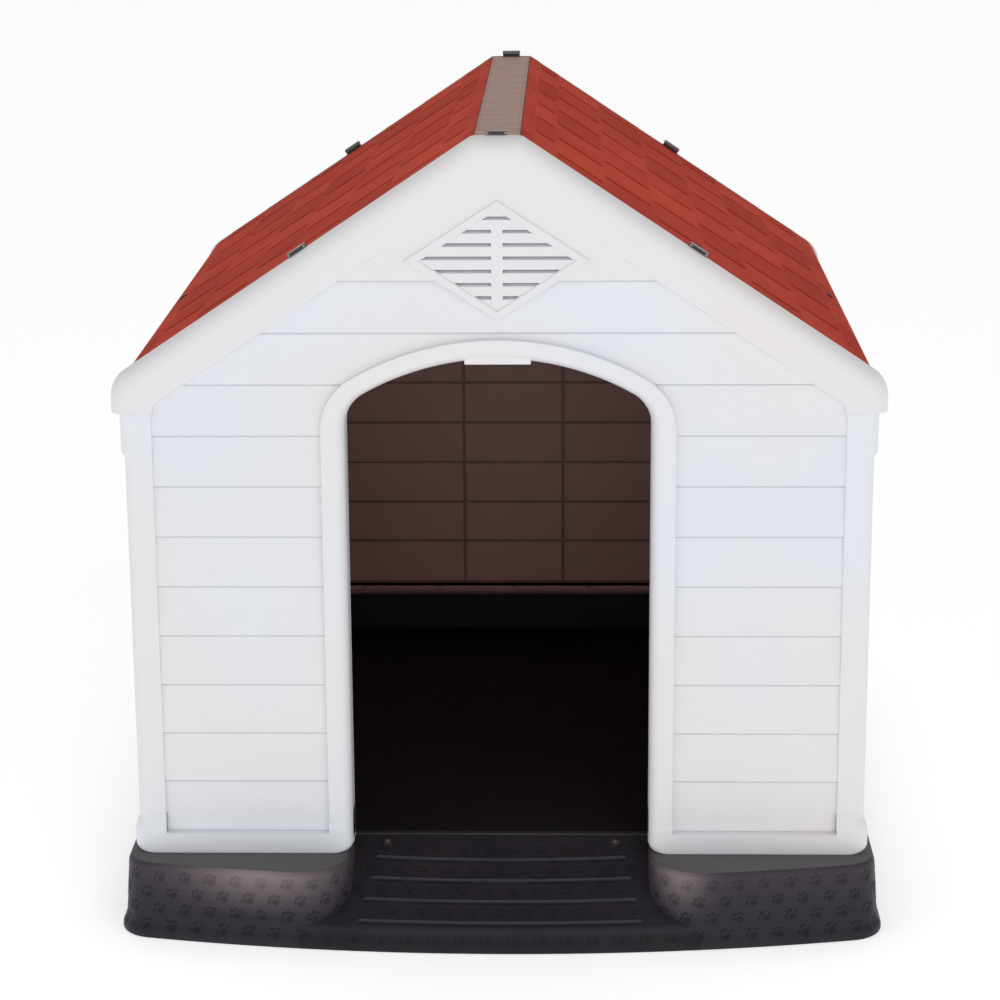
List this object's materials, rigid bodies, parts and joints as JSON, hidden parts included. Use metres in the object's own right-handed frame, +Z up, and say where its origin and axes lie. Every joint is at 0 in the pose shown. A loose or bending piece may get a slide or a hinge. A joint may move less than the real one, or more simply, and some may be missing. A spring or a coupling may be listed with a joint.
{
  "type": "plastic animal kennel",
  "caption": "Moulded plastic animal kennel with a gabled shingle-pattern roof, clapboard walls, an arched doorway and a dark base with an entrance ramp",
  "frame": {"origin": "on the ground under the centre of the overall box", "axes": "+Z up, the doorway faces -Y, +X to the right of someone who looks in at the door"},
  "size_m": [0.96, 1.066, 1.005],
  "materials": {
    "base_plastic": "near-black moulded plastic with a low satin sheen",
    "tray_plastic": "smooth black moulded plastic",
    "wall_plastic": "cool white moulded plastic, faint wood grain on the boards",
    "roof_plastic": "brick-red moulded plastic with shingle grooves",
    "cap_plastic": "taupe moulded plastic with brushed streaks",
    "clip_plastic": "dark brown-black moulded plastic",
    "zinc_screws": "bright zinc"
  },
  "bodies": {
    "house": {"base": "base_plastic", "floor_tray": "tray_plastic", "front_wall": "wall_plastic", "rear_wall": "wall_plastic", "left_wall": "wall_plastic", "right_wall": "wall_plastic", "sill_screws": "zinc_screws", "foot_screws": "zinc_screws", "corner_screws": "zinc_screws"},
    "roof": {"left_roof": "roof_plastic", "right_roof": "roof_plastic", "ridge_cap": "cap_plastic"},
    "front_ridge_clip": {"front_ridge_clip": "clip_plastic"},
    "rear_ridge_clip": {"rear_ridge_clip": "clip_plastic"},
    "front_left_clip": {"front_left_clip": "clip_plastic"},
    "front_right_clip": {"front_right_clip": "clip_plastic"},
    "rear_left_clip": {"rear_left_clip": "clip_plastic"},
    "rear_right_clip": {"rear_right_clip": "clip_plastic"},
    "left_eave_clip": {"left_eave_clip": "clip_plastic"},
    "right_eave_clip": {"right_eave_clip": "clip_plastic"}
  },
  "joints": [
    {"name": "roof_lift", "type": "slide", "parent": "house", "child": "roof", "axis": [0, 0, 1], "range_m": [0, 0.35]},
    {"name": "front_ridge_clip_pull", "type": "slide", "parent": "roof", "child": "front_ridge_clip", "axis": [0, 0, 1], "range_m": [0, 0.03]},
    {"name": "rear_ridge_clip_pull", "type": "slide", "parent": "roof", "child": "rear_ridge_clip", "axis": [0, 0, 1], "range_m": [0, 0.03]},
    {"name": "front_left_clip_pull", "type": "slide", "parent": "roof", "child": "front_left_clip", "axis": [-0.5548, 0, 0.832], "range_m": [0, 0.03]},
    {"name": "front_right_clip_pull", "type": "slide", "parent": "roof", "child": "front_right_clip", "axis": [0.5548, 0, 0.832], "range_m": [0, 0.03]},
    {"name": "rear_left_clip_pull", "type": "slide", "parent": "roof", "child": "rear_left_clip", "axis": [-0.5548, 0, 0.832], "range_m": [0, 0.03]},
    {"name": "rear_right_clip_pull", "type": "slide", "parent": "roof", "child": "rear_right_clip", "axis": [0.5548, 0, 0.832], "range_m": [0, 0.03]},
    {"name": "left_eave_clip_pull", "type": "slide", "parent": "roof", "child": "left_eave_clip", "axis": [-0.5548, 0, 0.832], "range_m": [0, 0.03]},
    {"name": "right_eave_clip_pull", "type": "slide", "parent": "roof", "child": "right_eave_clip", "axis": [0.5548, 0, 0.832], "range_m": [0, 0.03]}
  ]
}
